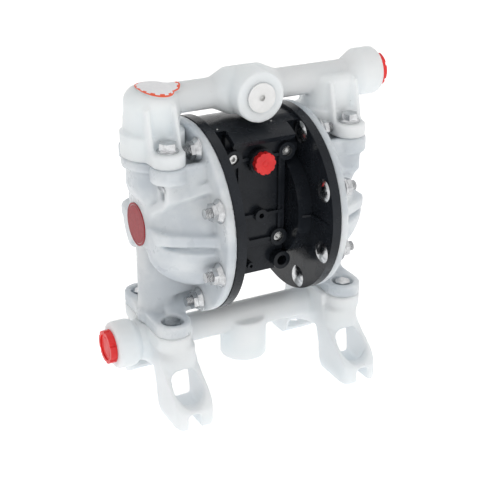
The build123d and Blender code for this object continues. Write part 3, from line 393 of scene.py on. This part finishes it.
softPieces = {name: softMoulding(name, values) for name, values in softValues.items()}


# ---- grids and turned shapes
def meshPiece(name, points, faces, material, body):
    mesh = bpy.data.meshes.new(name)
    mesh.from_pydata(points.tolist(), [], faces.tolist())
    mesh.update()
    piece = bpy.data.objects.new(name, mesh)
    bpy.context.scene.collection.objects.link(piece)
    dress(piece, material)
    mesh.polygons.foreach_set("use_smooth", np.ones(len(mesh.polygons), bool))
    if body:
        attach(piece, body)
    return piece


# profile of (along, radius) carried round an axis: point = along * axis + radius * (cos a, sin a) across it
def turnedShape(profile, steps, centre, axis="x"):
    profile = np.asarray(profile, float)
    angles = np.linspace(0, 2 * np.pi, steps, endpoint=False)
    along = np.repeat(profile[:, 0][None], steps, 0)
    radius = np.repeat(profile[:, 1][None], steps, 0)
    across, up = radius * np.cos(angles)[:, None], radius * np.sin(angles)[:, None]
    order = {"x": (along, across, up), "y": (across, along, up), "z": (across, up, along)}[axis]
    points = np.stack(order, -1).reshape(-1, 3) + np.asarray(centre, float)
    n = len(profile)
    i, j = np.meshgrid(np.arange(steps), np.arange(n), indexing="ij")
    a, b = i * n + j, i * n + (j + 1) % n
    c, d = ((i + 1) % steps) * n + (j + 1) % n, ((i + 1) % steps) * n + j
    return points, np.stack([a, b, c, d], -1).reshape(-1, 4)


def faceOutwards(piece):
    shape = bmesh.new()
    shape.from_mesh(piece.data)
    bmesh.ops.remove_doubles(shape, verts=shape.verts, dist=weldGap)
    bmesh.ops.recalc_face_normals(shape, faces=shape.faces)
    shape.to_mesh(piece.data)
    shape.free()
    piece.data.polygons.foreach_set("use_smooth", np.ones(len(piece.data.polygons), bool))


# ---- diaphragms: bead at the rim, a rolled fold, and the clamped disc
diaphragmValues = {
    "rimX": 46.3, "discX": 52.0, "bead": 2.4, "half": 1.45, "beadOut": 61.9, "beadIn": 56.1, "beadEdge": 0.8,
    "neck": 0.4, "foldOut": 52.0, "foldIn": 34.5, "crown": 2.0, "hole": 5.1, "steps": 96,
    "fixedX": 0.0478, "movingX": 0.0520,
}


def diaphragmProfile(side, values):
    v = values
    t = np.linspace(0.0, 1.0, 14)[1:-1]
    radius = v["foldOut"] + (v["foldIn"] - v["foldOut"]) * t
    # middle line: a smooth step from rim to disc plus a half sine crown
    middle = v["rimX"] + (v["discX"] - v["rimX"]) * t * t * (3 - 2 * t) + v["crown"] * np.sin(np.pi * t)
    top = [(v["rimX"] + v["bead"], v["beadIn"]), (v["rimX"] + v["half"], v["beadIn"] - v["neck"]),
           (v["rimX"] + v["half"], v["foldOut"])]
    top += list(zip(middle + v["half"], radius))
    top += [(v["discX"] + v["half"], v["foldIn"]), (v["discX"] + v["half"], v["hole"])]
    under = [(v["discX"] - v["half"], v["hole"]), (v["discX"] - v["half"], v["foldIn"])]
    under += list(zip(middle[::-1] - v["half"], radius[::-1]))
    edge = v["beadEdge"]
    under += [(v["rimX"] - v["half"], v["foldOut"]), (v["rimX"] - v["half"], v["beadIn"] - v["neck"]),
              (v["rimX"] - v["bead"], v["beadIn"]), (v["rimX"] - v["bead"], v["beadOut"] - edge),
              (v["rimX"] - v["bead"] + edge, v["beadOut"]), (v["rimX"] + v["bead"] - edge, v["beadOut"]),
              (v["rimX"] + v["bead"], v["beadOut"] - edge)]
    profile = np.array(top + under) * mm
    profile[:, 0] *= side
    return profile


for side, word in ((-1, "left"), (1, "right")):
    profile = diaphragmProfile(side, diaphragmValues)
    points, faces = turnedShape(profile, diaphragmValues["steps"], (0, 0, axisHeight))
    piece = meshPiece("moulded_diaphragm_" + word, points, faces, elastomer, None)
    faceOutwards(piece)
    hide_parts("diaphragm_" + word)
    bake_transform(piece)
print("diaphragms made")


# ---- round label on the left elbow: a disc wrapped round the tube and drawn onto the moulding, with its own map
labelValues = {
    "middleX": -76.0, "tubeZ": 99.5, "forward": 10.0, "radius": 19.6, "wrapRadius": 18.7, "stand": 1.0,
    "rings": 30, "steps": 90, "gap": 0.00012, "film": 0.0001,
}


def elbowLabel(values):
    radius = np.linspace(0.0, 1.0, values["rings"] + 1)[1:] * values["radius"] * mm
    angle = np.linspace(0, 2 * np.pi, values["steps"], endpoint=False)
    flat = np.stack([radius[:, None] * np.cos(angle), radius[:, None] * np.sin(angle)], -1).reshape(-1, 2)
    flat = np.vstack([[0.0, 0.0], flat])
    # each point of the disc keeps its x and goes round the tube by its other coordinate / wrapRadius
    turn = np.radians(values["forward"]) - flat[:, 1] / (values["wrapRadius"] * mm)
    reach = (values["wrapRadius"] + values["stand"]) * mm
    points = np.stack([values["middleX"] * mm + flat[:, 0], -reach * np.sin(turn),
                       values["tubeZ"] * mm + axisHeight + reach * np.cos(turn)], -1)
    n = values["steps"]
    ring, spoke = np.meshgrid(np.arange(values["rings"] - 1), np.arange(n), indexing="ij")
    first = 1 + ring * n
    faces = np.stack([first + spoke, first + n + spoke, first + n + (spoke + 1) % n, first + (spoke + 1) % n], -1)
    fan = np.stack([np.zeros(n, int), 1 + np.arange(n), 1 + (np.arange(n) + 1) % n], -1)
    mesh = bpy.data.meshes.new("elbow_label")
    mesh.from_pydata(points.tolist(), [], faces.reshape(-1, 4).tolist() + fan.tolist())
    corners = np.empty(len(mesh.loops), int)
    mesh.loops.foreach_get("vertex_index", corners)
    mesh.uv_layers.new(name="labelMap").data.foreach_set("uv", flat[corners].ravel())
    piece = bpy.data.objects.new("elbow_label", mesh)
    bpy.context.scene.collection.objects.link(piece)
    wrap = piece.modifiers.new("lay", "SHRINKWRAP")
    wrap.target = softPieces["discharge_manifold"]
    wrap.wrap_mode = "ABOVE_SURFACE"
    wrap.offset = values["gap"]
    thickness = piece.modifiers.new("film", "SOLIDIFY")
    thickness.thickness = values["film"]
    thickness.offset = 1.0
    depsgraph = bpy.context.evaluated_depsgraph_get()
    finished = bpy.data.meshes.new_from_object(piece.evaluated_get(depsgraph))
    piece.modifiers.clear()
    piece.data = finished
    dress(piece, labelPrint)
    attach(piece, "pump_housing")
    return piece


elbowLabel(labelValues)


# ---- small pins on the top shell, a raised ring on each red cap
pinValues = {
    "places": ((15.0, -19.0), (-33.0, -19.0)), "shell": 77.6, "radius": 0.85, "stand": 0.6, "shank": 0.5, "steps": 24,
}
for index, (x, y) in enumerate(pinValues["places"]):
    t = np.linspace(0, np.pi / 2, 7)
    base = np.sqrt(pinValues["shell"] ** 2 - y ** 2) - pinValues["shank"]
    # quarter circle dome over a short shank
    height = base + pinValues["shank"] + pinValues["stand"] * np.sin(t)
    dome = np.stack([height, pinValues["radius"] * np.cos(t)], -1)
    profile = np.vstack([[(base, 0.0), (base, pinValues["radius"])], dome]) * mm
    profile[-1, 1] = 0.0
    points, faces = turnedShape(profile, pinValues["steps"], (x * mm, y * mm, axisHeight), "z")
    faceOutwards(meshPiece("shell_pin_" + "ab"[index], points, faces, screwSteel, "pump_housing"))

capMarks = {
    "air": {"start": -38.6, "place": (0.0, 47.3), "axis": "y", "sign": -1, "ring": 2.4},
    "discharge": {"start": 127.3, "place": (0.0, 99.5), "axis": "x", "sign": 1, "ring": 8.0},
    "suction": {"start": -127.3, "place": (0.0, -104.3), "axis": "x", "sign": -1, "ring": 8.0},
}
ridgeValues = {"stand": 0.35, "half": 0.45, "sunk": 0.4, "steps": 64}
for name, mark in capMarks.items():
    ring, sign, half = mark["ring"], mark["sign"], ridgeValues["half"]
    t = np.linspace(0, np.pi, 9)
    # half circle ridge standing on the cap, closed below its face
    along = mark["start"] + sign * (ridgeValues["stand"] * np.sin(t))
    across = ring - half * np.cos(t)
    foot = mark["start"] - sign * ridgeValues["sunk"]
    profile = np.vstack([np.stack([along, across], -1), [(foot, ring + half), (foot, ring - half)]]) * mm
    x, z = mark["place"]
    points, faces = turnedShape(profile, ridgeValues["steps"], (x * mm, 0.0, z * mm + axisHeight), mark["axis"])
    faceOutwards(meshPiece("cap_ring_" + name, points, faces, redCap, "pump_housing"))
print("small pieces made")


# ---- studio: pale floor and backdrop, soft lamps
studioValues = {
    "world": 0.64, "floorColour": (0.93, 0.93, 0.93), "floorDark": (0.92, 0.92, 0.92), "floorGlow": 0.60,
    "floorBounce": 0.36, "toneScale": 3.0, "floorReach": 6.0, "floorCells": 12, "floorDrop": 0.0002,
    "lampAim": (0.0, 0.0, 0.13),
    "lamps": {
        "keyLamp": {"place": (-0.32, -1.30, 0.95), "size": 0.8, "power": 1.3},
        "frontLamp": {"place": (-0.30, -1.25, 0.16), "size": 0.9, "power": 2.0},
        "fillLamp": {"place": (1.25, -0.85, 0.65), "size": 1.0, "power": 0.9},
        "topLamp": {"place": (0.1, 0.35, 1.35), "size": 0.9, "power": 0.4},
    },
}


def seenDirectly(tree):
    # one for camera, mirror and see-through rays, nought for light that falls on the pump
    ray = addNode(tree, "ShaderNodeLightPath")
    first = calculate(tree, "MAXIMUM", ray.outputs["Is Camera Ray"], ray.outputs["Is Glossy Ray"])
    return calculate(tree, "MAXIMUM", first, ray.outputs["Is Transmission Ray"])


world = bpy.data.worlds.new("studio")
bpy.context.scene.world = world
world.use_nodes = True
tree = world.node_tree
backdrop = tree.nodes["Background"]
backdrop.inputs["Color"].default_value = (1.0, 1.0, 1.0, 1.0)
brightness = calculate(tree, "MULTIPLY_ADD", seenDirectly(tree), 1.0 - studioValues["world"], studioValues["world"])
tree.links.new(brightness, backdrop.inputs["Strength"])

floorMaterial, tree, coords, shader = startMaterial("studio_floor")
tone = rampField(tree, noiseField(tree, coords, studioValues["toneScale"]), 0.3, 0.7)
floorTint = mixColours(tree, tone, studioValues["floorColour"], studioValues["floorDark"])
tree.links.new(floorTint, shader.inputs["Base Color"])
setSockets(shader, Roughness=0.9, Specular_IOR_Level=0.1)
shader.inputs["Emission Color"].default_value = (1.0, 1.0, 1.0, 1.0)
glow = calculate(tree, "MULTIPLY_ADD", seenDirectly(tree), studioValues["floorGlow"] - studioValues["floorBounce"],
                 studioValues["floorBounce"])
tree.links.new(glow, shader.inputs["Emission Strength"])
# flat square of cells, point (i, j) at row i, column j
cells = studioValues["floorCells"]
span = np.linspace(-studioValues["floorReach"], studioValues["floorReach"], cells + 1)
gridX, gridY = np.meshgrid(span, span, indexing="ij")
floorPoints = np.stack([gridX, gridY, np.full_like(gridX, -studioValues["floorDrop"])], -1).reshape(-1, 3)
i, j = np.meshgrid(np.arange(cells), np.arange(cells), indexing="ij")
corner = i * (cells + 1) + j
floorFaces = np.stack([corner, corner + cells + 1, corner + cells + 2, corner + 1], -1).reshape(-1, 4)
floorMesh = bpy.data.meshes.new("studio_floor")
floorMesh.from_pydata(floorPoints.tolist(), [], floorFaces.tolist())
studioFloor = bpy.data.objects.new("studio_floor", floorMesh)
bpy.context.scene.collection.objects.link(studioFloor)
floorMesh.materials.append(floorMaterial)

for name, values in studioValues["lamps"].items():
    lampData = bpy.data.lights.new(name, "AREA")
    lampData.energy = values["power"]
    lampData.size = values["size"]
    lamp = bpy.data.objects.new(name, lampData)
    bpy.context.scene.collection.objects.link(lamp)
    lamp.location = values["place"]
    lamp.rotation_euler = (Vector(studioValues["lampAim"]) - lamp.location).to_track_quat("-Z", "Y").to_euler()
print("studio lit")
